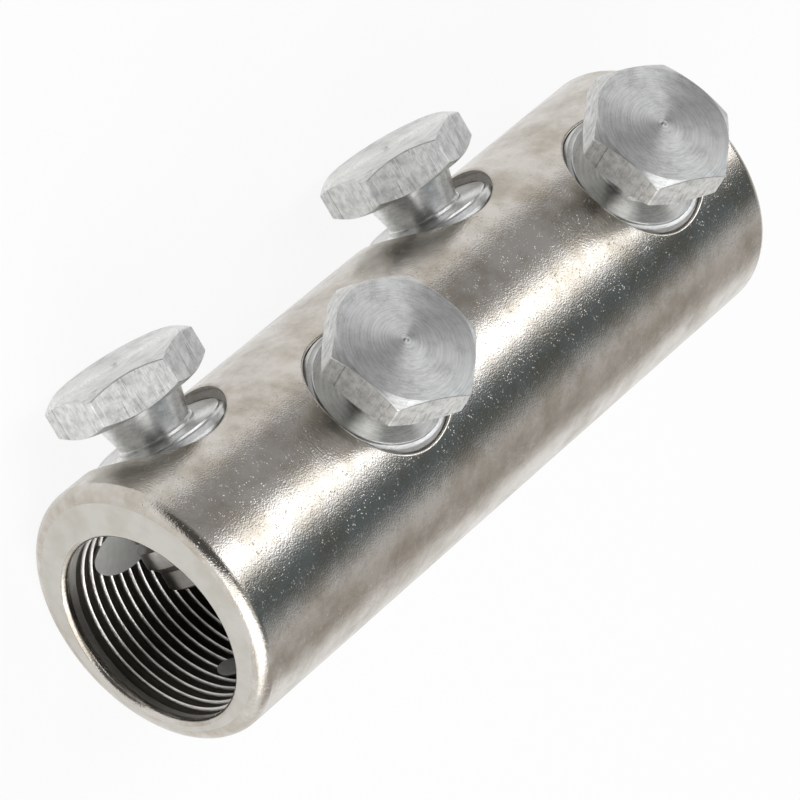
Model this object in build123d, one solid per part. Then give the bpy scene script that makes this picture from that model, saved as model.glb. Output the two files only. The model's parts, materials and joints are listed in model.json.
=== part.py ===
from build123d import *
import math
import os

# Shear bolt cable connector: a tubular sleeve that joins two cable cores end to end.
# Four bolts in two staggered rows clamp the cores, and each head breaks off at its
# neck once the core is tight. The sleeve is one turned and drilled piece, and each
# bolt is one turned piece: hexagon head, conical neck, threaded body, plain pilot.
# Millimetres, +Z up. +X runs along the sleeve. The connector lies as it comes to
# rest: on the sleeve's own side and on the two heads of its lower bolt row. The
# origin is the middle of the footprint, on the surface that it lies on.

# Sleeve
sleeve_diameter = 34.0
sleeve_length = 102.0
end_rounding = 1.8          # radius of the outer edge at both ends
end_rounding_bands = 2      # turned as this many cones, which lie within 0.14 mm of the arc
bore_diameter = 24.6        # the smooth lands just inside the two mouths
land_length = 2.2
groove_depth = 0.5          # the rest of the bore is grooved, and stands at half this depth
bore_offset = 1.9           # the bore is off centre, so the wall is thick at the bolts

# Bolt rows. A height along a bolt is measured from the sleeve's axis.
row_angle = 63.0            # between the two rows, about the sleeve's axis
outer_station = 36.2        # the two end bolts, from the sleeve's middle
inner_station = 15.7        # the two middle bolts, from the sleeve's middle
lower_row_turn = 24.2       # how far each row's hexagons are turned from the sleeve's axis
upper_row_turn = 35.4

# Bolt. Body and hole stand at the thread's major diameter.
body_diameter = 18.0
body_length = 16.1
tip_height = -0.5           # how high the tip stands as photographed
thread_clearance = 0.05     # radial gap between body and hole
pilot_diameter = 16.0       # plain lead at the tip, before the thread begins
pilot_length = 3.0
body_bevel = 0.6            # 45 degree bevel round the body's top face
neck_base_diameter = 8.3    # the thinnest section, where the bolt shears
neck_top_diameter = 11.2
neck_length = 4.8
head_across_flats = 17.0
head_height = 4.8
head_face_diameter = 17.5   # circle on the head's two faces where the cones begin
head_chamfer_angle = 30.0   # slope of the cones that take off the hexagon's corners

sleeve_radius = sleeve_diameter / 2
bore_radius = bore_diameter / 2
grooved_radius = bore_radius + groove_depth / 2
body_radius = body_diameter / 2
hole_radius = body_radius + thread_clearance
head_corner_radius = head_across_flats / 2 / math.cos(math.radians(30))
head_face_radius = head_face_diameter / 2
corner_drop = (head_corner_radius - head_face_radius) * math.tan(math.radians(head_chamfer_angle))
head_top = tip_height + body_length + neck_length + head_height

X_AXIS = Vector(1, 0, 0)


def lowest_corner_reach(turn):
    """Largest sideways reach of a hexagon's corners, square to the sleeve's axis."""
    angles = [math.radians(turn + 60 * k) for k in range(6)]
    return max(head_corner_radius * math.sin(a) for a in angles)


def lower_row_dip():
    """Degrees that the lower row points below the horizontal once its heads touch down."""
    height = head_top - corner_drop
    reach = lowest_corner_reach(lower_row_turn)
    contact = math.degrees(math.asin(sleeve_radius / math.hypot(height, reach)))
    return contact - math.degrees(math.atan2(reach, height))


lower_row_tilt = -lower_row_dip()
upper_row_tilt = lower_row_tilt + row_angle

# name, station along the sleeve, tilt of the row above the horizontal, turn of the hexagon
bolts = [
    ("shear_bolt_1", -outer_station, lower_row_tilt, lower_row_turn),
    ("shear_bolt_2", -inner_station, upper_row_tilt, upper_row_turn),
    ("shear_bolt_3", inner_station, lower_row_tilt, lower_row_turn),
    ("shear_bolt_4", outer_station, upper_row_tilt, upper_row_turn),
]


def row_direction(tilt):
    """Unit vector from the sleeve's axis out along a bolt row."""
    return Vector(0, math.cos(math.radians(tilt)), math.sin(math.radians(tilt)))


def bolt_plane(station, tilt):
    """Plane on the sleeve's axis whose Z runs out along the bolt and X along the sleeve."""
    return Plane(origin=(station, 0, 0), x_dir=X_AXIS, z_dir=row_direction(tilt))


def bore_centre():
    """The bore's centre in the YZ plane, moved off the axis away from the bolts."""
    return row_direction((lower_row_tilt + upper_row_tilt) / 2) * -bore_offset


def end_plane(centre, inset=0.0):
    """Plane square to the sleeve, this far in from its near end, origin on the centre line given."""
    near_end = -sleeve_length / 2 + inset
    return Plane(origin=(near_end, centre.Y, centre.Z), x_dir=(0, -1, 0), z_dir=X_AXIS)


def bar_outline():
    """Half the sleeve's section along its axis, with the rounding as a chain of short chords."""
    step = math.pi / 2 / end_rounding_bands
    arc = [(1 - math.cos(k * step), 1 - math.sin(k * step)) for k in range(end_rounding_bands + 1)]
    near = [(end_rounding * along, sleeve_radius - end_rounding * inward) for along, inward in arc]
    far = [(sleeve_length - along, radius) for along, radius in reversed(near)]
    return Polyline((0, 0), *near, *far, (sleeve_length, 0), close=True)


def make_sleeve():
    """Round bar with rounded ends, four bolt holes and an eccentric grooved bore."""
    axis_plane = Plane(origin=(-sleeve_length / 2, 0, 0), x_dir=X_AXIS, z_dir=(0, 0, -1))
    body = revolve(axis_plane * make_face(bar_outline()), Axis.X)
    for _, station, tilt, _ in bolts:
        body -= extrude(bolt_plane(station, tilt) * Circle(hole_radius), amount=sleeve_diameter)
    body -= extrude(end_plane(bore_centre()) * Circle(bore_radius), amount=sleeve_length)
    grooved = end_plane(bore_centre(), land_length) * Circle(grooved_radius)
    return body - extrude(grooved, amount=sleeve_length - 2 * land_length)


def bolt_stem():
    """Pilot, body and neck as one turned profile, tip at height zero."""
    neck_top = body_length + neck_length
    outline = Polyline(
        (0, 0),
        (pilot_diameter / 2, 0),
        (pilot_diameter / 2, pilot_length),
        (body_radius, pilot_length),
        (body_radius, body_length - body_bevel),
        (body_radius - body_bevel, body_length),
        (neck_base_diameter / 2, body_length),
        (neck_top_diameter / 2, neck_top),
        (neck_top_diameter / 2, neck_top + head_height / 2),
        (0, neck_top + head_height / 2),
        close=True,
    )
    return revolve(Plane.XZ * make_face(outline), Axis.Z)


def bolt_head(turn):
    """Hexagon whose corners are taken off by a cone above and below, base at height zero."""
    hexagon = extrude(RegularPolygon(head_corner_radius, 6, rotation=turn), amount=head_height)
    # The turning tool runs past the corners by a little on both cones
    over = head_corner_radius * 1.1
    fall = (over - head_face_radius) * math.tan(math.radians(head_chamfer_angle))
    outline = Polyline(
        (0, 0),
        (head_face_radius, 0),
        (over, fall),
        (over, head_height - fall),
        (head_face_radius, head_height),
        (0, head_height),
        close=True,
    )
    return hexagon & revolve(Plane.XZ * make_face(outline), Axis.Z)


def make_bolt(station, tilt, turn):
    """One shear bolt in its hole, at the depth that the photograph shows."""
    head = Pos(0, 0, body_length + neck_length) * bolt_head(turn)
    bolt = bolt_stem() + head
    return bolt_plane(station, tilt) * Pos(0, 0, tip_height) * bolt


pieces = {"sleeve": make_sleeve()}
for name, station, tilt, turn in bolts:
    pieces[name] = make_bolt(station, tilt, turn)

# The sleeve's axis has been the origin so far. Now the footprint's middle is.
box = Compound(children=[Part() + piece for piece in pieces.values()]).bounding_box()
to_floor = Pos(-box.center().X, -box.center().Y, sleeve_radius)

os.makedirs("parts", exist_ok=True)
for name, piece in pieces.items():
    export_step(to_floor * piece, f"parts/{name}.step")
print("sleeve axis at y =", round(-box.center().Y, 4), "z =", sleeve_radius)
print("lower row tilt", round(lower_row_tilt, 4), "upper row tilt", round(upper_row_tilt, 4))
print("bore centre", [round(v + d, 4) for v, d in zip(bore_centre(), (0, -box.center().Y, sleeve_radius))])
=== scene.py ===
import json
import math

import bpy
import numpy as np
from bpy.props import FloatProperty, FloatVectorProperty, IntProperty, PointerProperty
from bpy.types import Operator, Panel, PropertyGroup
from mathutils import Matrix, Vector


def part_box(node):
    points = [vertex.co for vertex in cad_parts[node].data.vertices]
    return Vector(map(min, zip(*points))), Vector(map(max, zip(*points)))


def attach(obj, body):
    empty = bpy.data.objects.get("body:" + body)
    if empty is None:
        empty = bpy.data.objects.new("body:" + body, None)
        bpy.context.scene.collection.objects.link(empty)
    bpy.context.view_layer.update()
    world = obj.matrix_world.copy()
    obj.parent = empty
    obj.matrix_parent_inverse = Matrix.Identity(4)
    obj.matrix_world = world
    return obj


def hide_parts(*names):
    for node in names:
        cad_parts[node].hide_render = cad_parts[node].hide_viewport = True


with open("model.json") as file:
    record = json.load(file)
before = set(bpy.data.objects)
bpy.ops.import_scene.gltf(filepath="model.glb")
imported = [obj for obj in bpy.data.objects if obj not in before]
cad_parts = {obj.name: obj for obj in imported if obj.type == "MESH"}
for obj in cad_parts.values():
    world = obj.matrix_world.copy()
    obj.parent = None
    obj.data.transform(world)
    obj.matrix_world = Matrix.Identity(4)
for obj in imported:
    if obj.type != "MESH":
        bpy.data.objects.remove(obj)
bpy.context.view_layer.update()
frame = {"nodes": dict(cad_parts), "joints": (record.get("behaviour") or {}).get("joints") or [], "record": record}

bl_info = {
    "name": "Shear bolt cable connector",
    "version": (1, 0, 0),
    "blender": (4, 5, 0),
    "location": "3D View > Sidebar > Connector",
    "description": "A tin-plated sleeve that joins two cable cores, with four shear-head bolts",
    "category": "Add Mesh",
}

# The frame gives the sleeve's axis and radius, the bore's, and the bolts' places and directions
SLEEVE_LOW, SLEEVE_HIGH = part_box("sleeve")
SLEEVE_AXIS = np.array([0.0, (SLEEVE_LOW.y + SLEEVE_HIGH.y) / 2, (SLEEVE_LOW.z + SLEEVE_HIGH.z) / 2])
SLEEVE_RADIUS = (SLEEVE_HIGH.z - SLEEVE_LOW.z) / 2
BORE = frame["record"]["mounts"][0]
BORE_AXIS = np.array([0.0, BORE["pos_m"][1], BORE["pos_m"][2]])
BORE_RADIUS = BORE["dims"]["r_mm"] / 1000
ALONG = np.array([1.0, 0.0, 0.0])
FULL_TURN = 2 * math.pi

# Gaps too small to see: between a rounding and the flat beside it, between a plain ring and
# the first turn of a screw surface, and between a surface and a face that counts as on it
EDGE_GAP = 0.00006
TURN_GAP = 0.00002
TOUCH = 0.00001


def bolt_facts():
    """Name, middle of the row on the sleeve's axis and outward direction of every bolt."""
    facts = []
    for joint in frame["joints"]:
        name = joint["child"]
        low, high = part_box(name)
        foot = SLEEVE_AXIS + ALONG * (low.x + high.x) / 2
        facts.append((name, foot, np.array(joint["axis"], float)))
    return facts


BOLTS = bolt_facts()


# Colours


def linear_channel(value):
    """One sRGB channel from 0 to 1 as linear light."""
    return value / 12.92 if value <= 0.04045 else ((value + 0.055) / 1.055) ** 2.4


def shade(hex_code):
    """A written sRGB colour such as c8c4bd as linear red, green, blue and full cover."""
    return (*(linear_channel(int(hex_code[i : i + 2], 16) / 255) for i in (0, 2, 4)), 1.0)


WHITE = shade("ffffff")


# Sizes and colours that a user would change


def length(name, default, description):
    """A length in metres."""
    return FloatProperty(name=name, default=default, description=description, unit="LENGTH", precision=5)


def colour(name, hex_code, description):
    """A paint colour written as an sRGB hex code."""
    return FloatVectorProperty(
        name=name, default=shade(hex_code), description=description, subtype="COLOR", size=4,
        min=0.0, max=1.0,
    )


class SleeveSizes(PropertyGroup):
    end_rounding: length("End rounding", 0.0018, "Radius of the outer edge at both ends")
    mouth_edge: length("Mouth edge", 0.0007, "Rounding of both mouths of the bore")
    plain_land: length("Plain land", 0.0011, "Smooth bore between each mouth and its first groove")
    groove_pitch: length("Groove pitch", 0.0015, "Travel of the bore's groove in one turn")
    groove_depth: length("Groove depth", 0.00055, "How far the groove goes into the bore's wall")
    hole_rim: length("Hole rim", 0.0005, "Rounding of the bolt holes' outer edges")
    columns: IntProperty(name="Columns", default=144, min=24, description="Grid columns round the sleeve")


class BoltSizes(PropertyGroup):
    across_flats: length("Across flats", 0.017, "Width of the hexagon")
    head_height: length("Head height", 0.0048, "Thickness of the hexagon")
    face_radius: length("Face radius", 0.00842, "Circle where the corner cones begin")
    corner_radius: length("Corner radius", 0.0003, "Small rounding of the hexagon's upright edges")
    neck_top_radius: length("Neck top radius", 0.0056, "Neck where it meets the head")
    neck_base_radius: length("Neck base radius", 0.00455, "Thinnest section, where the bolt shears")
    neck_length: length("Neck length", 0.0043, "Height of the neck")
    ledge_radius: length("Ledge radius", 0.0049, "Thin disc that stays on the body under the neck")
    ledge_height: length("Ledge height", 0.0005, "Thickness of that disc")
    body_length: length("Body length", 0.0161, "Body from tip to top face")
    body_bevel: length("Body bevel", 0.001, "45 degree bevel at both ends of the thread")
    tip_height: length("Tip height", -0.0005, "Where the tip stands from the sleeve's axis at rest")
    pilot_length: length("Pilot length", 0.0025, "Plain lead below the thread")
    thread_major: length("Thread crest radius", 0.00885, "Half the thread's outside diameter")
    thread_minor: length("Thread root radius", 0.00808, "Half the thread's root diameter")
    thread_pitch: length("Thread pitch", 0.0015, "Travel in one turn")
    thread_gap: length("Thread gap", 0.0001, "Radial play between bolt and hole")


class FinishColours(PropertyGroup):
    tin: colour("Tin", "d0cbc4", "Plating where it is clean")
    tin_warm: colour("Warm tin", "b1a99d", "Plating where it has dulled to beige")
    tin_cut: colour("Cut tin", "cccac3", "Plating on the sawn end faces")
    # A lighter copy of the plating, painted light on the bore's crests
    lit_bore_tin: colour("Bore tin", "d8d6d2", "Plating on the crests of the bore, bright and little handled")
    # Painted shade, for the bottoms of the bore's grooves, the bolt holes' walls and the bolt tips in the bore
    groove: colour("Groove", "6a665f", "The bottom of the bore's grooves")
    # Painted shade: a darker grey for the threaded walls of the bolt holes, in the gap round each bolt
    thread: colour("Thread", "9c9892", "The threaded walls of the bolt holes")
    skin: colour("Grey skin", "d6d6d3", "The smooth patches on the grooves")
    skin_dark: colour("Grey skin, dark", "b4b4b1", "Smears in those patches")
    aluminium: colour("Aluminium", "e9e9e7", "Bare turned aluminium")
    aluminium_dark: colour("Dulled aluminium", "9c9c9a", "Where the bare aluminium has dulled")
    floor: colour("Floor", "f7f7f7", "The surface that the connector lies on")


# Grids and profiles


def even_angles(count):
    """This many angles evenly round a full turn."""
    return np.arange(count) * FULL_TURN / count


def quarter_round(radius, steps):
    """Pairs radius * (1 - cos a) and radius * (1 - sin a), for a from 0 to a quarter turn."""
    turns = np.linspace(0, math.pi / 2, steps)
    return [(radius * (1 - math.cos(turn)), radius * (1 - math.sin(turn))) for turn in turns]


def sleeve_points(centre, radii, places, angles):
    """Points round a line along X: at these places, centre + radius * (cos, sin) in YZ."""
    y, z = centre[1] + radii * np.cos(angles), centre[2] + radii * np.sin(angles)
    return np.stack(np.broadcast_arrays(places, y, z), axis=-1)


def bolt_points(foot, out, radii, heights, angles):
    """Points at these radii, heights and angles about a bolt's axis.

    The angle runs from X towards the side, out x X, and the height from the sleeve's axis.
    """
    x, y, heights = np.broadcast_arrays(radii * np.cos(angles), radii * np.sin(angles), heights)
    side = np.cross(out, ALONG)
    return foot + x[..., None] * ALONG + y[..., None] * side + heights[..., None] * out


def own_places(points, foot, out):
    """A bolt's own coordinates of these points: along X, to the side (out x X), and height."""
    away = points - foot
    return away[:, 0], away @ np.cross(out, ALONG), away @ out


def screw_grid(start, pitch, turns, profile, angles):
    """Heights and radii of a screw surface.

    A row is one corner of the thread's profile, carried round once: its height is
    start + pitch * (whole turns + the corner's place in the pitch + angle / full turn),
    and its radius is the corner's own.
    """
    places = np.array([place for place, _ in profile])
    radii = np.array([radius for _, radius in profile])
    row = np.arange(turns * len(profile) + 1)
    corner = row % len(profile)
    whole = row // len(profile) + places[corner]
    heights = start + pitch * (whole[:, None] + angles[None, :] / FULL_TURN)
    return heights, np.repeat(radii[corner][:, None], len(angles), axis=1)


class Shell:
    """Points and faces of one closed surface, gathered ring by ring."""

    def __init__(self):
        self.points = []
        self.count = 0
        self.quads = []
        self.others = []

    def add(self, points):
        """Keeps an array of points and returns their numbers in the array's own shape."""
        flat = points.reshape(-1, 3)
        numbers = np.arange(self.count, self.count + len(flat)).reshape(points.shape[:-1])
        self.points.append(flat)
        self.count += len(flat)
        return numbers

    def chain(self, rings):
        """Adds closed rings of points and joins each to the next. Returns their numbers."""
        numbers = [self.add(points) for points in rings]
        for first, second in zip(numbers[:-1], numbers[1:]):
            self.quads.append(np.stack([first, np.roll(first, -1), np.roll(second, -1), second], axis=1))
        return numbers

    def screw(self, low_ring, grid, high_ring, corners, inward=False):
        """Faces of a screw surface between two plain rings.

        The last column of a row meets the first column of the row one pitch higher. A wedge of
        quads and one many-sided face at the seam close the gap to the plain ring at each end.
        """
        inner = np.stack([grid[:-1, :-1], grid[:-1, 1:], grid[1:, 1:], grid[1:, :-1]], axis=-1)
        before, after = grid[: -1 - corners, -1], grid[1:-corners, -1]
        seam = np.stack([before, grid[corners:-1, 0], grid[corners + 1 :, 0], after], axis=1)
        low = np.stack([low_ring[:-1], low_ring[1:], grid[0, 1:], grid[0, :-1]], axis=1)
        high = np.stack([grid[-1, :-1], grid[-1, 1:], high_ring[1:], high_ring[:-1]], axis=1)
        start = [low_ring[-1], low_ring[0], *grid[: corners + 1, 0], grid[0, -1]]
        last = grid[-1 : -1 - corners : -1, -1]
        end = [grid[-1 - corners, -1], grid[-1, 0], high_ring[0], high_ring[-1], *last]
        way = -1 if inward else 1
        self.quads.append(np.concatenate([inner.reshape(-1, 4), seam, low, high])[:, ::way])
        self.others += [start[::way], end[::way]]

    def cap(self, first_ring, last_ring):
        """Closes the surface with one flat face at each end."""
        self.others += [first_ring[::-1], last_ring]

    def mesh(self, name):
        """The gathered surface as a Blender mesh."""
        data = bpy.data.meshes.new(name)
        faces = np.concatenate(self.quads).tolist() + [[int(v) for v in face] for face in self.others]
        data.from_pydata(np.concatenate(self.points).tolist(), [], faces)
        if data.validate(verbose=False):
            raise RuntimeError(f"{name} has faces that Blender had to mend")
        return data


def read(items, attribute, width=1, kind=float):
    """One attribute of a mesh's vertices, corners or faces, as an array with a row for each."""
    values = np.empty(len(items) * width, kind)
    items.foreach_get(attribute, values)
    return values.reshape(-1, width) if width > 1 else values


def finish_edges(data, degrees):
    """Smooth shading up to this angle between faces, sharp beyond it."""
    data.polygons.foreach_set("use_smooth", np.ones(len(data.polygons), bool))
    data.set_sharp_from_angle(angle=math.radians(degrees))
    data.update()


def new_object(name, data):
    """An object that shows this data in the scene."""
    made = bpy.data.objects.new(name, data)
    bpy.context.scene.collection.objects.link(made)
    return made


def new_piece(name, data, body):
    """A finished piece: at the origin, riding on its CAD body and standing for its node."""
    piece = new_object(name, data)
    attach(piece, body)
    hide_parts(body)
    return piece


# The sleeve


def tube_shell(sizes):
    """The sleeve without its bolt holes.

    One chain of rings runs from the near land over the near end face, the quarter-round edge
    (axial inset r(1 - cos a), radial inset r(1 - sin a)), the outside, and back to the far land.
    The grooved bore between the lands is a screw surface about the bore's own axis.
    """
    angles = even_angles(sizes.columns)
    near, far = SLEEVE_LOW.x, SLEEVE_HIGH.x
    land, outer = BORE_RADIUS, SLEEVE_RADIUS
    edge, rounding = sizes.mouth_edge, sizes.end_rounding
    half = [(BORE_AXIS, land, sizes.plain_land), (BORE_AXIS, land, edge + EDGE_GAP)]
    half += [(BORE_AXIS, land + wider, inset) for wider, inset in quarter_round(edge, 8)]
    half.append((BORE_AXIS, land + edge + EDGE_GAP, 0.0))
    half.append((SLEEVE_AXIS, outer - rounding - EDGE_GAP, 0.0))
    half += [(SLEEVE_AXIS, outer - inward, inset) for inset, inward in quarter_round(rounding, 11)]
    rings = [sleeve_points(centre, radius, near + inset, angles) for centre, radius, inset in half]
    spans = 56
    for part in np.linspace(0, 1, spans + 1)[1:-1]:
        place = near + rounding + part * (far - near - 2 * rounding)
        rings.append(sleeve_points(SLEEVE_AXIS, outer, place, angles))
    rings += [sleeve_points(centre, radius, far - inset, angles) for centre, radius, inset in reversed(half)]
    shell = Shell()
    numbers = shell.chain(rings)

    pitch, depth = sizes.groove_pitch, sizes.groove_depth
    # Each crest is a narrow roof that carries the land's radius on along the bore
    profile = [
        (0.0, land + 0.22 * depth),
        (0.07, land + 0.88 * depth),
        (0.42, land + depth),
        (0.79, land + 0.88 * depth),
        (0.86, land + 0.22 * depth),
        (0.93, land),
    ]
    start = near + sizes.plain_land + TURN_GAP
    turns = int((far - near - 2 * sizes.plain_land - 2 * TURN_GAP) / pitch) - 1
    heights, radii = screw_grid(start, pitch, turns, profile, angles)
    grid = shell.add(sleeve_points(BORE_AXIS, radii, heights, angles))
    # The bore's wall faces its own axis
    shell.screw(numbers[0], grid, numbers[-1], len(profile), inward=True)
    return shell


# Corners of one pitch of a thread: place in the pitch, and whether it is on the crest
THREAD = [(0.0, True), (0.3125, False), (0.5625, False), (0.875, True)]
HOLE_COLUMNS = 96


def thread_points(foot, out, root, crest, low, high, pitch, angles):
    """Grid of points of the whole turns of a thread that fit between two heights.

    The thread is right-handed, and its phase is height / pitch - angle / full turn, which is
    the same for a bolt and its hole.
    """
    profile = [(place, crest if at_crest else root) for place, at_crest in THREAD]
    first = math.ceil((low + TURN_GAP) / pitch) * pitch
    turns = int((high - TURN_GAP - first) / pitch) - 1
    heights, radii = screw_grid(first, pitch, turns, profile, angles)
    return bolt_points(foot, out, radii, heights, angles)


def thread_shell(foot, out, root, crest, low, high, pitch):
    """A threaded plug that cuts one bolt hole: flat caps, plain rings and a screw surface."""
    angles = even_angles(HOLE_COLUMNS)
    shell = Shell()
    low_ring = shell.add(bolt_points(foot, out, crest, low, angles))
    grid = shell.add(thread_points(foot, out, root, crest, low, high, pitch, angles))
    high_ring = shell.add(bolt_points(foot, out, crest, high, angles))
    shell.screw(low_ring, grid, high_ring, len(THREAD))
    shell.cap(low_ring, high_ring)
    return shell


def rim_shell(foot, out, hole, rounding):
    """The cutter that rounds one hole's outer edge.

    Its rows follow the sleeve's saddle, height = sqrt(sleeve radius^2 - (radius sin angle)^2),
    less rounding * (1 - cos a) for a quarter circle a. Below it they run on as a lead-in for
    the thread, and above it the cutter reaches a little past the sleeve.
    """
    angles = even_angles(HOLE_COLUMNS)
    rim = hole + rounding
    lead_in, past = 0.0013, 0.0005
    rows = [(hole - lead_in, -rounding - lead_in)]
    rows += [(hole + wider, -drop) for drop, wider in reversed(quarter_round(rounding, 9))]
    rows += [(rim + 0.4 * past, EDGE_GAP), (rim + past, 1.2 * past)]
    rings = []
    for radius, rise in rows:
        saddle = np.sqrt(SLEEVE_RADIUS**2 - (min(radius, rim) * np.sin(angles)) ** 2)
        rings.append(bolt_points(foot, out, radius, saddle + rise, angles))
    rings.append(bolt_points(foot, out, rim + past, SLEEVE_RADIUS + 4 * past, angles))
    shell = Shell()
    numbers = shell.chain(rings)
    shell.cap(numbers[0], numbers[-1])
    return shell


# Smooth grey patches that the photograph shows on the grooves near bolt 1: distance from the
# near end, angle round the bore, half length and half width. Their middle rises this much
# above the crests, and their back is this deep in the wall.
PATCHES = [
    (0.0120, math.radians(-71), 0.0063, 0.0040),
    (0.0114, math.radians(-174), 0.0018, 0.0017),
]
PATCH_RISE = 0.00012
PATCH_BACK = 0.0012


def patch_shell(place, turn, half_along, half_round):
    """A thin oval patch that fills the grooves, to be joined to the bore's wall.

    With s from 0 to 1 outwards and p round it, a point stands at X = place + half_along s cos p,
    at the angle turn + half_round s sin p / wall radius, and at the radius wall - rise (1 - s^4).
    The back of it lies inside the wall.
    """
    innermost = 0.08
    out_and_back = [(s, -PATCH_RISE * (1 - s**4) - TOUCH) for s in np.linspace(innermost, 1, 14)]
    out_and_back += [(s, PATCH_BACK) for s in (1.0, 0.5, innermost)]
    round_it = even_angles(72)
    rings = []
    for share, depth in out_and_back:
        places = SLEEVE_LOW.x + place + half_along * share * np.cos(round_it)
        angles = turn + half_round * share * np.sin(round_it) / BORE_RADIUS
        rings.append(sleeve_points(BORE_AXIS, BORE_RADIUS + depth, places, angles))
    shell = Shell()
    numbers = shell.chain(rings)
    shell.cap(numbers[0], numbers[-1])
    # The grid runs the other way round from the outward side, so its faces are turned
    shell.quads = [quads[:, ::-1] for quads in shell.quads]
    shell.others = [face[::-1] for face in shell.others]
    return shell


def in_patch(centres, place, turn, half_along, half_round):
    """Which of these points on the bore's wall lie in an oval patch."""
    angle = np.arctan2(centres[:, 2] - BORE_AXIS[2], centres[:, 1] - BORE_AXIS[1])
    apart = (angle - turn + math.pi) % FULL_TURN - math.pi
    along = (centres[:, 0] - SLEEVE_LOW.x - place) / half_along
    return along**2 + (apart * BORE_RADIUS / half_round) ** 2 < 1.0


def cut_and_join(piece, cut_shells, joined_shells):
    """Takes closed shapes out of a piece and joins others to it, and keeps the result as its mesh."""
    cutters = []
    both = [(shell, "UNION") for shell in joined_shells] + [(shell, "DIFFERENCE") for shell in cut_shells]
    for number, (shell, operation) in enumerate(both):
        name = f"cutter_{number}"
        cutter = new_object(name, shell.mesh(name))
        change = piece.modifiers.new(name, "BOOLEAN")
        change.operation = operation
        change.solver = "MANIFOLD"
        change.object = cutter
        cutters.append(cutter)
    bpy.context.view_layer.update()
    graph = bpy.context.evaluated_depsgraph_get()
    whole = piece.data
    piece.data = bpy.data.meshes.new_from_object(piece.evaluated_get(graph))
    piece.modifiers.clear()
    # Each cutter's object goes with its mesh
    for data in [whole] + [cutter.data for cutter in cutters]:
        bpy.data.meshes.remove(data)
    piece.data.name = piece.name


# The sleeve's finishes, by the number of the material slot
PLATED, SAWN, BORED, SKINNED, THREADED = range(5)

# A face of the sleeve within this of the land's radius is in the grooved bore
GROOVE_REACH = 0.0007
# A face nearer than the first of these to a bolt's axis, and higher than the second along it,
# is a hole's threaded wall, unless it lies within the third of the outside
HOLE_WALL = 0.00906
HOLE_START = 0.003
OUTSIDE = 0.0001


def mark_zones(data, plain_land):
    """Gives the flat end faces the sawn finish, and the grooves, patches and holes their own.

    The land inside each mouth is plated like the outside and keeps its finish.
    """
    centres = read(data.polygons, "center", 3)
    place = centres[:, 0]
    from_bore = np.hypot(*(centres[:, 1:] - BORE_AXIS[1:]).T)
    from_axis = np.hypot(*(centres[:, 1:] - SLEEVE_AXIS[1:]).T)
    zone = np.full(len(centres), PLATED, np.int32)
    zone[(place < SLEEVE_LOW.x + TOUCH) | (place > SLEEVE_HIGH.x - TOUCH)] = SAWN
    grooved = (place > SLEEVE_LOW.x + plain_land) & (place < SLEEVE_HIGH.x - plain_land)
    zone[grooved & (from_bore < BORE_RADIUS + GROOVE_REACH)] = BORED
    for patch in PATCHES:
        zone[in_patch(centres, *patch) & (from_bore < BORE_RADIUS + TOUCH)] = SKINNED
    for _, foot, out in BOLTS:
        x, y, height = own_places(centres, foot, out)
        in_hole = (height > HOLE_START) & (np.hypot(x, y) < HOLE_WALL)
        zone[in_hole & (from_axis < SLEEVE_RADIUS - OUTSIDE)] = THREADED
    data.polygons.foreach_set("material_index", zone)


def true_normals(data):
    """Shades the outside as the exact cylinder that it is, so the cut holes leave no trace in it."""
    away = read(data.vertices, "co", 3) - SLEEVE_AXIS
    away[:, 0] = 0
    radius = np.linalg.norm(away, axis=1)
    on_outside = np.abs(radius - SLEEVE_RADIUS) < 3 * TOUCH
    vertex = read(data.loops, "vertex_index", kind=int)
    first = read(data.polygons, "loop_start", kind=int)
    corners = read(data.polygons, "loop_total", kind=int)
    whole = np.repeat(np.minimum.reduceat(on_outside[vertex], first), corners)
    outward = away / np.maximum(radius, 1e-9)[:, None]
    data.normals_split_custom_set(np.where(whole[:, None], outward[vertex], 0.0).tolist())


class CONNECTOR_OT_sleeve(Operator):
    """Makes the tin-plated sleeve: rounded tube, grooved bore, and four threaded bolt holes"""

    bl_idname = "connector.sleeve"
    bl_label = "Make the sleeve"

    def execute(self, context):
        sizes = context.scene.connector_sleeve
        bolt = context.scene.connector_bolt
        data = tube_shell(sizes).mesh("tinned_sleeve")
        piece = new_piece("tinned_sleeve", data, "sleeve")
        crest = bolt.thread_major + bolt.thread_gap
        root = bolt.thread_minor + bolt.thread_gap
        # The plugs begin inside the bore and end outside the sleeve
        low, high = 0.005, SLEEVE_RADIUS + 0.003
        cuts = [thread_shell(foot, out, root, crest, low, high, bolt.thread_pitch) for _, foot, out in BOLTS]
        cuts += [rim_shell(foot, out, crest, sizes.hole_rim) for _, foot, out in BOLTS]
        cut_and_join(piece, cuts, [patch_shell(*patch) for patch in PATCHES])
        finish_edges(piece.data, 30)
        piece.data.materials.clear()
        for make_finish in (tinned_aluminium, cut_tin, bore_tin, filled_grey, hole_thread):
            piece.data.materials.append(make_finish(context.scene.connector_finish))
        mark_zones(piece.data, sizes.plain_land)
        true_normals(piece.data)
        return {"FINISHED"}


# The bolts


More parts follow.
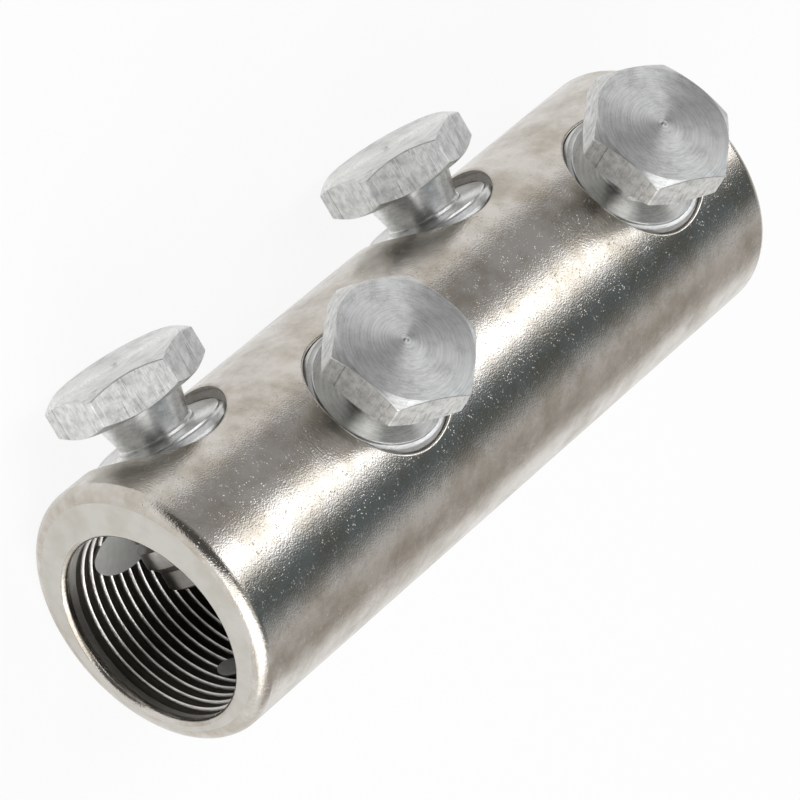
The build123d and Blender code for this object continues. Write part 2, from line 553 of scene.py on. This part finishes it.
def hexagon_columns(turn, across_flats, corner_radius):
    """Angles and radii of a hexagon with slightly rounded corners.

    Along a flat the radius is half the width / cos(angle from the flat's middle). In a corner
    it is the far side of a circle of the corner radius, whose centre is on the corner's line.
    Corners stand at the turn given, every 60 degrees.
    """
    half = across_flats / 2
    away = (half - corner_radius) / math.cos(math.radians(30))
    meets = math.atan2(away * math.sin(math.radians(30)), half)
    straight = np.arctan(np.tan(meets) * np.sin(np.linspace(-math.pi / 2, math.pi / 2, 17)))
    bend = np.linspace(meets, math.radians(60) - meets, 7)[1:-1]
    from_corner = math.radians(30) - np.abs(bend)
    arc = away * np.cos(from_corner) + np.sqrt(corner_radius**2 - (away * np.sin(from_corner)) ** 2)
    side = np.concatenate([straight, bend])
    angles = np.concatenate([side + math.radians(60 * number + 30) + turn for number in range(6)])
    angles = angles % FULL_TURN
    radii = np.tile(np.concatenate([half / np.cos(straight), arc]), 6)
    order = np.argsort(angles)
    return angles[order], radii[order]


def bolt_turn(name, foot, out):
    """How far a bolt's hexagon is turned from the sleeve's axis, read from the CAD node's corners."""
    x, y, _ = own_places(read(frame["nodes"][name].data.vertices, "co", 3), foot, out)
    corner = np.argmax(np.hypot(x, y))
    return math.atan2(y[corner], x[corner]) % math.radians(60)


def bolt_shell(foot, out, turn, sizes):
    """One bolt as a closed surface: tip, thread, body, ledge, neck, head and its turned face."""
    angles, hexagon = hexagon_columns(turn, sizes.across_flats, sizes.corner_radius)
    tip = sizes.tip_height
    lead = tip + sizes.pilot_length
    top = tip + sizes.body_length
    ledge = top + sizes.ledge_height
    neck = ledge + sizes.neck_length
    head = neck + sizes.head_height
    crest, root, bevel = sizes.thread_major, sizes.thread_minor, sizes.body_bevel
    shell = Shell()

    def rings(pairs):
        """Joined rings from radius and height pairs, where either may change from column to column."""
        return shell.chain([bolt_points(foot, out, radius, height, angles) for radius, height in pairs])

    # Turned edges are broken by about this much, and the hexagon's cones meet its sides softly
    nick, soft = 0.0001, 0.00007
    # The middle of the tip is dished, as far out as this
    dish = 0.002
    lower = rings([
        (0.45 * dish, tip + 0.06 * dish),
        (dish, tip),
        (crest - bevel - 2 * nick, tip),
        (crest - bevel, tip + 2 * nick),
        (crest - bevel, lead),
        (crest, lead + bevel),
    ])
    thread = thread_points(foot, out, root, crest, lead + bevel, top - bevel, sizes.thread_pitch, angles)
    grid = shell.add(thread)

    slope = math.tan(math.radians(30))
    drop = (hexagon - sizes.face_radius) * slope
    # The stub that is left where the bar was parted off
    pip = 0.0004
    upper = rings([
        (crest, top - bevel),
        (crest - 0.3 * bevel, top - 0.42 * bevel),
        (crest - 0.5 * bevel, top - 0.4 * bevel),
        (crest - 0.75 * bevel, top - 0.3 * bevel),
        (crest - 0.8 * bevel, top - 0.06 * bevel),
        (crest - 0.9 * bevel, top),
        (crest - bevel - nick, top),
        (sizes.ledge_radius + 2.5 * nick, top),
        (sizes.ledge_radius, top + nick),
        (sizes.ledge_radius, ledge - 0.8 * nick),
        (sizes.ledge_radius - 0.8 * nick, ledge),
        (sizes.neck_base_radius + 0.8 * nick, ledge),
        (sizes.neck_base_radius, ledge + nick),
        (sizes.neck_top_radius, neck - 2 * nick),
        (sizes.neck_top_radius + 2 * nick, neck),
        (sizes.face_radius - nick, neck),
        (sizes.face_radius, neck),
        (hexagon - soft, neck + drop - soft * slope),
        (hexagon, neck + drop + soft),
        (hexagon, head - drop - soft),
        (hexagon - soft, head - drop + soft * slope),
        (sizes.face_radius, head),
        (sizes.face_radius - nick, head),
        (10 * pip, head),
        (2.5 * pip, head),
        (pip + 0.8 * nick, head),
        (pip, head + 0.15 * pip),
        (0.4 * pip, head + 0.75 * pip),
        (pip / 8, head + 0.8 * pip),
    ])
    shell.screw(lower[-1], grid, upper[0], len(THREAD))
    shell.cap(lower[0], upper[-1])
    return shell


def add_bolt_maps(data, foot, out, turn):
    """Keeps the bolt's own coordinates as an attribute, and a map with U round the axis.

    The attribute holds the coordinates along X, to the side and out, with the hexagon turned
    straight. In the map, U is the angle as a share of a full turn and V is radius plus height,
    in centimetres, so that the finish can tell which way the tool went round.
    """
    x, y, height = own_places(read(data.vertices, "co", 3), foot, out)
    own_x = x * math.cos(turn) + y * math.sin(turn)
    own_y = y * math.cos(turn) - x * math.sin(turn)
    own = np.stack([own_x, own_y, height], axis=1)
    data.attributes.new("bolt_place", "FLOAT_VECTOR", "POINT").data.foreach_set("vector", own.ravel())
    vertex = read(data.loops, "vertex_index", kind=int)
    first = read(data.polygons, "loop_start", kind=int)
    share = (np.arctan2(own_y, own_x) / FULL_TURN % 1.0)[vertex]
    # No face may reach across the seam of the map, so its corners follow its first one
    corners = read(data.polygons, "loop_total", kind=int)
    share = share - np.round(share - np.repeat(share[first], corners))
    spread = (np.hypot(x, y) * 100 + height * 100)[vertex]
    layer = data.uv_layers.new(name="round_the_axis")
    layer.data.foreach_set("uv", np.stack([share, spread], axis=1).ravel())


def mark_flats(data, foot, out, sizes):
    """Gives the hexagon's upright sides the drawn finish: outer faces that face sideways."""
    x, y, height = own_places(read(data.polygons, "center", 3), foot, out)
    sideways = np.abs(read(data.polygons, "normal", 3) @ out) < 0.2
    above_body = height > sizes.tip_height + sizes.body_length + sizes.neck_length / 2
    flats = sideways & above_body & (np.hypot(x, y) > sizes.across_flats / 2 - sizes.corner_radius)
    data.polygons.foreach_set("material_index", flats.astype(np.int32))


class CONNECTOR_OT_bolts(Operator):
    """Makes the four shear bolts: hexagon head, conical neck, ledge and threaded body"""

    bl_idname = "connector.bolts"
    bl_label = "Make the bolts"

    def execute(self, context):
        sizes = context.scene.connector_bolt
        finish = context.scene.connector_finish
        finishes = [turned_aluminium(finish), drawn_aluminium(finish)]
        for name, foot, out in BOLTS:
            turn = bolt_turn(name, foot, out)
            data = bolt_shell(foot, out, turn, sizes).mesh(f"{name}_turned")
            finish_edges(data, 25)
            add_bolt_maps(data, foot, out, turn)
            new_piece(f"{name}_turned", data, name)
            for material in finishes:
                data.materials.append(material)
            mark_flats(data, foot, out, sizes)
        return {"FINISHED"}


# Finishes

# The inputs that a row of values gives, in turn
NOISE = ("Vector", "Scale", "Detail", "Roughness")
RANGE = ("Value", "From Min", "From Max", "To Min", "To Max")


def add_node(material, kind, inputs=None, **settings):
    """A node with its settings and inputs.

    An input is a number, a colour, another node's output, or another node, which stands for
    the first of its outputs that is in use.
    """
    node = material.node_tree.nodes.new(kind)
    for name, value in settings.items():
        setattr(node, name, value)
    for name, value in (inputs or {}).items():
        if isinstance(value, bpy.types.Node):
            value = next(output for output in value.outputs if output.enabled)
        if isinstance(value, bpy.types.NodeSocket):
            material.node_tree.links.new(value, node.inputs[name])
        else:
            node.inputs[name].default_value = value
    return node


def add_nodes(material, kind, names, rows):
    """A node for each row of values for the inputs of these names. A row may end early."""
    return [add_node(material, kind, dict(zip(names, row))) for row in rows]


def every(millimetres):
    """Noise scale whose features repeat about every so many millimetres.

    A pixel of the picture is 0.11 mm. The grain of tin plate, about 0.02 mm, and the rings of
    a turning tool, 0.05 to 0.1 mm apart, are finer, so both are drawn at about 0.2 mm.
    """
    return 1000 / millimetres


def new_finish(name):
    """An empty node material."""
    material = bpy.data.materials.new(name)
    material.use_nodes = True
    material.node_tree.nodes.clear()
    return material


def end_finish(material, blend, look, bumps=()):
    """Ends a finish with its shader and output.

    The blend is a share and the two colours that it stands between, and the look is what the
    shader's other inputs say. Bumps are pairs of a height and its depth in metres, each laid
    over the one before.
    """
    base = add_node(material, "ShaderNodeMix", dict(zip(("Factor", "A", "B"), blend)), data_type="RGBA")
    below = {}
    for height, depth in bumps:
        bump = add_node(material, "ShaderNodeBump", {"Height": height, "Distance": depth, **below})
        below = {"Normal": bump}
    shader = add_node(material, "ShaderNodeBsdfPrincipled", {"Base Color": base, **look, **below})
    add_node(material, "ShaderNodeOutputMaterial", {"Surface": shader})
    return material


def tinned_aluminium(finish):
    """Tin-plated turned aluminium: a soft mirror, broken by fine grain and hair marks round the sleeve."""
    material = new_finish("tinned_aluminium")
    place = add_node(material, "ShaderNodeTexCoord").outputs["Object"]
    # The lathe's marks run round the sleeve, so the pattern is drawn out along Y and Z
    drawn = add_node(
        material, "ShaderNodeVectorMath", {0: place, 1: (1.0, 0.07, 0.07)}, operation="MULTIPLY"
    )
    patches, grain, hairs, waves, spread = add_nodes(material, "ShaderNodeTexNoise", NOISE, [
        (place, every(6.0), 5.0, 0.65),
        (place, every(0.23), 2.0, 0.6),
        (drawn, every(0.24), 3.0, 0.7),
        (place, every(3.0), 2.0, 0.5),
        (place, every(1.1), 3.0, 0.6),
    ])
    # Pits stand in clusters: where the wider noise is high there are none
    pits = add_node(material, "ShaderNodeTexVoronoi", {"Vector": place, "Scale": every(0.33)})
    clean = add_node(
        material, "ShaderNodeMapRange", {"Value": spread, "From Min": 0.42, "From Max": 0.6, "To Max": 0.34}
    )
    kept = add_node(material, "ShaderNodeMath", {0: pits, 1: clean}, operation="ADD")
    pitted, warm, rough = add_nodes(material, "ShaderNodeMapRange", RANGE, [
        (kept, 0.06, 0.34),
        (patches, 0.4, 0.65),
        (patches, 0.35, 0.7, 0.13, 0.22),
    ])
    look = {"Metallic": 1.0, "Roughness": rough}
    bumps = [(waves, 0.000025), (hairs, 0.000014), (grain, 0.00003), (pitted, 0.000026)]
    return end_finish(material, (warm, finish.tin, finish.tin_warm), look, bumps)


def bore_tin(finish):
    """The grooved bore: crests in a lighter tin as painted light, and grooves painted dark as shade towards their
    bottoms.
    """
    material = new_finish("bored_tinned_aluminium")
    place = add_node(material, "ShaderNodeTexCoord").outputs["Object"]
    drawn = add_node(
        material, "ShaderNodeVectorMath", {0: place, 1: (1.0, 0.06, 0.06)}, operation="MULTIPLY"
    )
    marks, grain = add_nodes(material, "ShaderNodeTexNoise", NOISE, [
        (drawn, every(0.2), 2.0, 0.6),
        (place, every(0.23), 2.0, 0.6),
    ])
    from_axis = add_node(material, "ShaderNodeVectorMath", {0: place, 1: tuple(-BORE_AXIS)}, operation="ADD")
    square = add_node(
        material, "ShaderNodeVectorMath", {0: from_axis, 1: (0.0, 1.0, 1.0)}, operation="MULTIPLY"
    )
    radius = add_node(material, "ShaderNodeVectorMath", {0: square}, operation="LENGTH")
    # The crests keep their colour, and the bottom of a groove is painted fully dark as shade
    deep = add_node(
        material, "ShaderNodeMapRange",
        {"Value": radius, "From Min": BORE_RADIUS + 0.00012, "From Max": BORE_RADIUS + 0.00042},
    )
    look = {"Metallic": 1.0, "Roughness": 0.3}
    bumps = [(marks, 0.00005), (grain, 0.00005)]
    return end_finish(material, (deep, finish.lit_bore_tin, finish.groove), look, bumps)


def filled_grey(finish):
    """The smooth grey patches on the grooves: a dull skin with faint smears."""
    material = new_finish("dull_grey_skin")
    place = add_node(material, "ShaderNodeTexCoord").outputs["Object"]
    smears = add_node(
        material, "ShaderNodeTexNoise",
        {"Vector": place, "Scale": every(1.1), "Detail": 4.0, "Roughness": 0.6},
    )
    look = {"Metallic": 0.0, "Roughness": 0.5}
    return end_finish(material, (smears, finish.skin, finish.skin_dark), look, [(smears, 0.00003)])


def hole_thread(finish):
    """The threaded wall of a bolt hole: dull and darker grey, with blotches darker still, painted shade for the
    gap round the bolt.
    """
    material = new_finish("thread_painted_shade")
    place = add_node(material, "ShaderNodeTexCoord").outputs["Object"]
    # Blotches of painted shade between the thread grey and the darker shade colour
    shade_blotches = add_node(
        material, "ShaderNodeTexNoise",
        {"Vector": place, "Scale": every(0.67), "Detail": 3.0, "Roughness": 0.6},
    )
    return end_finish(material, (shade_blotches, finish.thread, finish.groove), {"Metallic": 1.0, "Roughness": 0.45})


def cut_tin(finish):
    """The tin-plated end faces: matt, with the broad faint marks of the saw under the plating."""
    material = new_finish("sawn_tinned_aluminium")
    place = add_node(material, "ShaderNodeTexCoord").outputs["Object"]
    grain, cloud = add_nodes(material, "ShaderNodeTexNoise", NOISE, [
        (place, every(0.24), 3.0, 0.6),
        (place, every(3.8), 4.0, 0.6),
    ])
    worn = add_node(
        material, "ShaderNodeMapRange", {"Value": cloud, "From Min": 0.4, "From Max": 0.8, "To Max": 0.6}
    )
    look = {"Metallic": 1.0, "Roughness": 0.42}
    return end_finish(material, (worn, finish.tin_cut, finish.tin_warm), look, [(grain, 0.00003)])


def turned_aluminium(finish):
    """Bare turned aluminium: broken fine rings left by the tool, read from each bolt's own coordinates."""
    material = new_finish("turned_aluminium")
    place = add_node(material, "ShaderNodeAttribute", attribute_name="bolt_place").outputs["Vector"]
    parts = add_node(material, "ShaderNodeSeparateXYZ", {"Vector": place}).outputs
    flat = add_node(material, "ShaderNodeCombineXYZ", {"X": parts["X"], "Y": parts["Y"]})
    radius = add_node(material, "ShaderNodeVectorMath", {0: flat}, operation="LENGTH")
    climb = add_node(material, "ShaderNodeMath", {0: parts["Z"], 1: 0.35}, operation="MULTIPLY")
    straight = add_node(material, "ShaderNodeCombineXYZ", {"X": radius, "Z": climb})
    # The rings fade in and out as they go round, so a little of the place is mixed in
    around = add_node(
        material, "ShaderNodeVectorMath", {0: flat, 1: (0.14, 0.14, 0.14)}, operation="MULTIPLY"
    )
    track = add_node(material, "ShaderNodeVectorMath", {0: straight, 1: around}, operation="ADD")
    rings, grain, blotches = add_nodes(material, "ShaderNodeTexNoise", NOISE, [
        (track, every(0.19), 3.0, 0.75),
        (place, every(0.18), 2.0, 0.6),
        (place, every(2.4), 4.0, 0.6),
    ])
    # Handling has dulled the turned faces in blotches, which are made of dark specks, and down
    # in the bore and its hole the bolt is painted darker as shade, the lower the darker
    ringed, blotched, specks, tip_shade = add_nodes(material, "ShaderNodeMapRange", RANGE, [
        (rings, 0.38, 0.62, 0.0, 0.36),
        (blotches, 0.44, 0.7),
        (grain, 0.35, 0.65, 0.15, 0.55),
        (parts["Z"], 0.003, 0.008, 0.85, 0.0),
    ])
    worn = add_node(material, "ShaderNodeMath", {0: blotched, 1: specks}, operation="MULTIPLY")
    dull = add_node(material, "ShaderNodeMath", {0: ringed, 1: worn}, operation="ADD", use_clamp=True)
    dry = add_node(
        material, "ShaderNodeMix", {"Factor": dull, "A": finish.aluminium, "B": finish.aluminium_dark},
        data_type="RGBA",
    )
    tangent = add_node(material, "ShaderNodeTangent", direction_type="UV_MAP", uv_map="round_the_axis")
    look = {"Metallic": 1.0, "Roughness": 0.33, "Anisotropic": 0.88, "Anisotropic Rotation": 0.25}
    look["Tangent"] = tangent
    return end_finish(material, (tip_shade, dry, finish.groove), look, [(rings, 0.000012), (grain, 0.00001)])


def drawn_aluminium(finish):
    """Drawn aluminium on the hexagon's sides: mottled, with fine scratches that cross at random."""
    material = new_finish("drawn_aluminium")
    place = add_node(material, "ShaderNodeAttribute", attribute_name="bolt_place").outputs["Vector"]
    long_way = add_node(
        material, "ShaderNodeVectorMath", {0: place, 1: (1.0, 1.0, 0.08)}, operation="MULTIPLY"
    )
    mottle, grain, streaks = add_nodes(material, "ShaderNodeTexNoise", NOISE, [
        (place, every(1.1), 5.0, 0.65),
        (place, every(0.22), 3.0, 0.6),
        (long_way, every(0.38), 3.0, 0.6),
    ])
    # Dark scratches along the bolt, faint ones round it, and bright scuffs along it: how the
    # pattern is drawn out, the size of it in millimetres, and how much darker a line is
    scratched = mottle
    sets = [((1.0, 1.0, 0.05), 0.24, 0.3), ((0.05, 0.05, 1.0), 0.205, 0.1), ((1.0, 1.0, 0.12), 0.17, -0.5)]
    for stretch, size, darker in sets:
        stretched = add_node(material, "ShaderNodeVectorMath", {0: place, 1: stretch}, operation="MULTIPLY")
        lines = add_node(
            material, "ShaderNodeTexNoise", {"Vector": stretched, "Scale": every(size), "Detail": 1.0}
        )
        thin = add_node(
            material, "ShaderNodeMapRange",
            {"Value": lines, "From Min": 0.62, "From Max": 0.74, "To Max": darker},
        )
        scratched = add_node(material, "ShaderNodeMath", {0: scratched, 1: thin}, operation="ADD")
    dull = add_node(
        material, "ShaderNodeMapRange", {"Value": scratched, "From Min": 0.36, "From Max": 0.85}
    )
    look = {"Metallic": 0.75, "Roughness": 0.42}
    bumps = [(streaks, 0.00001), (grain, 0.00002)]
    return end_finish(material, (dull, finish.aluminium, finish.aluminium_dark), look, bumps)


# The stage


def floor_finish(finish):
    """Pale floor that the camera and the metal see as white, with the connector's faint shadow on it.

    The share of its own glow is high for rays from the camera, a gloss or a clear piece, and
    none for the light that reaches matt surfaces.
    """
    material = new_finish("white_floor")
    path = add_node(material, "ShaderNodeLightPath").outputs
    seen = path["Is Camera Ray"]
    for kind in ("Is Glossy Ray", "Is Transmission Ray"):
        seen = add_node(material, "ShaderNodeMath", {0: seen, 1: path[kind]}, operation="MAXIMUM")
    share = add_node(material, "ShaderNodeMath", {0: seen, 1: 0.9}, operation="MULTIPLY")
    paint = add_node(material, "ShaderNodeBsdfDiffuse", {"Color": finish.floor})
    glow = add_node(material, "ShaderNodeEmission", {"Color": WHITE, "Strength": 1.0})
    both = add_node(material, "ShaderNodeMixShader", {0: share, 1: paint, 2: glow})
    add_node(material, "ShaderNodeOutputMaterial", {"Surface": both})
    return material


# The studio beyond the connector, by the angle about X from +Y through +Z: degrees and colour.
# A long strip lamp stands high on the bolts' side, with a dark ceiling behind it.
STUDIO = [
    (-30, (0.36, 0.36, 0.36)),
    (38, (0.40, 0.40, 0.41)),
    (51, (0.52, 0.53, 0.54)),
    (56, (2.5, 2.53, 2.58)),
    (76, (2.5, 2.53, 2.58)),
    (82, (0.55, 0.58, 0.62)),
    (90, (0.22, 0.25, 0.27)),
    (96, (0.12, 0.145, 0.155)),
    (118, (0.12, 0.145, 0.155)),
    (128, (0.32, 0.33, 0.34)),
    (136, (0.68, 0.68, 0.68)),
    (142, (0.66, 0.65, 0.64)),
    (152, (0.50, 0.48, 0.46)),
    (190, (0.48, 0.45, 0.42)),
]

# The studio on the side of bolt 1, by the Y of the direction
STUDIO_FRONT = [
    (-1.0, (0.95, 0.95, 0.95)),
    (-0.15, (0.95, 0.95, 0.95)),
    (0.04, (0.36, 0.36, 0.36)),
    (0.25, (0.10, 0.10, 0.10)),
    (1.0, (0.10, 0.10, 0.10)),
]


def studio_ramp(world, value, stops):
    """A background whose colour follows a value, from a list of values and colours.

    A ramp's colours end at 1, so they are shares of the brightest, which is the strength.
    """
    low, high = stops[0][0], stops[-1][0]
    share = add_node(world, "ShaderNodeMapRange", {"Value": value, "From Min": low, "From Max": high})
    ramp = add_node(world, "ShaderNodeValToRGB", {"Fac": share})
    elements = ramp.color_ramp.elements
    while len(elements) < len(stops):
        elements.new(0.5)
    brightest = max(max(colour) for _, colour in stops)
    for element, (place, colour) in zip(elements, stops):
        element.position = (place - low) / (high - low)
        element.color = (*(channel / brightest for channel in colour), 1)
    return add_node(world, "ShaderNodeBackground", {"Color": ramp, "Strength": brightest})


def studio_world():
    """World of long soft bands beyond the connector and plain greys in front, white to the camera."""
    world = bpy.data.worlds.new("studio")
    world.use_nodes = True
    world.node_tree.nodes.clear()
    toward = add_node(world, "ShaderNodeTexCoord").outputs["Generated"]
    parts = add_node(world, "ShaderNodeSeparateXYZ", {"Vector": toward}).outputs
    turn = add_node(world, "ShaderNodeMath", {0: parts["Z"], 1: parts["Y"]}, operation="ARCTAN2")
    degrees = add_node(world, "ShaderNodeMath", {0: turn}, operation="DEGREES")
    beyond = studio_ramp(world, degrees, STUDIO)
    front = studio_ramp(world, parts["Y"], STUDIO_FRONT)
    share = add_node(world, "ShaderNodeMapRange", {"Value": parts["X"], "From Min": -0.3, "From Max": -0.05})
    studio = add_node(world, "ShaderNodeMixShader", {0: share, 1: front, 2: beyond})
    white = add_node(world, "ShaderNodeBackground", {"Color": WHITE, "Strength": 1.0})
    seen = add_node(world, "ShaderNodeLightPath").outputs["Is Camera Ray"]
    both = add_node(world, "ShaderNodeMixShader", {0: seen, 1: studio, 2: white})
    add_node(world, "ShaderNodeOutputWorld", {"Surface": both})
    return world


def add_panel(name, place, aim, width, height, power):
    """A soft rectangular lamp at a place, turned to face a point."""
    lamp = bpy.data.lights.new(name, "AREA")
    lamp.shape = "RECTANGLE"
    lamp.size = width
    lamp.size_y = height
    lamp.energy = power
    panel = new_object(name, lamp)
    panel.location = place
    panel.rotation_euler = (Vector(aim) - Vector(place)).to_track_quat("-Z", "Y").to_euler()


class CONNECTOR_OT_stage(Operator):
    """Makes the pale floor, the studio with its soft lamp, and the camera"""

    bl_idname = "connector.stage"
    bl_label = "Make the stage"

    def execute(self, context):
        scene = context.scene
        scene.view_settings.view_transform = "Standard"

        # The camera as it was fitted to the outlines in the photograph
        camera_data = bpy.data.cameras.new("camera")
        camera_data.lens = 239.99
        camera_data.sensor_width = 36.0
        camera_data.shift_x = 0.03764
        camera_data.shift_y = 0.06801
        camera_data.clip_start = 0.01
        camera_data.clip_end = 20.0
        camera = new_object("camera", camera_data)
        camera.location = (-0.399540, 0.269192, 0.427675)
        camera.rotation_euler = [math.radians(a) for a in (-8.03134, -48.84490, -24.78432)]
        scene.camera = camera

        shell = Shell()
        reach = 1.5
        corners = shell.add(reach * np.array([[-1, -1, 0], [1, -1, 0], [1, 1, 0], [-1, 1, 0]], float))
        shell.quads.append(corners[None, :])
        floor = new_object("floor", shell.mesh("floor"))
        floor.data.materials.append(floor_finish(scene.connector_finish))

        scene.world = studio_world()
        add_panel("front_panel", (-0.66, -0.36, 0.42), (0, 0, 0.02), 1.0, 1.0, 4.5)
        return {"FINISHED"}


class CONNECTOR_PT_panel(Panel):
    """Lists the steps that build the connector"""

    bl_idname = "CONNECTOR_PT_panel"
    bl_label = "Shear bolt connector"
    bl_space_type = "VIEW_3D"
    bl_region_type = "UI"
    bl_category = "Connector"

    def draw(self, context):
        for step in STEPS:
            self.layout.operator(step.bl_idname)


STEPS = (CONNECTOR_OT_sleeve, CONNECTOR_OT_bolts, CONNECTOR_OT_stage)
GROUPS = (
    ("connector_sleeve", SleeveSizes),
    ("connector_bolt", BoltSizes),
    ("connector_finish", FinishColours),
)


def register():
    for name, group in GROUPS:
        bpy.utils.register_class(group)
        setattr(bpy.types.Scene, name, PointerProperty(type=group))
    for step in STEPS:
        bpy.utils.register_class(step)
    bpy.utils.register_class(CONNECTOR_PT_panel)


def unregister():
    bpy.utils.unregister_class(CONNECTOR_PT_panel)
    for step in reversed(STEPS):
        bpy.utils.unregister_class(step)
    for name, group in reversed(GROUPS):
        delattr(bpy.types.Scene, name)
        bpy.utils.unregister_class(group)


def main():
    """Builds the connector and its stage."""
    register()
    bpy.ops.connector.sleeve()
    bpy.ops.connector.bolts()
    bpy.ops.connector.stage()


if __name__ == "__main__":
    main()
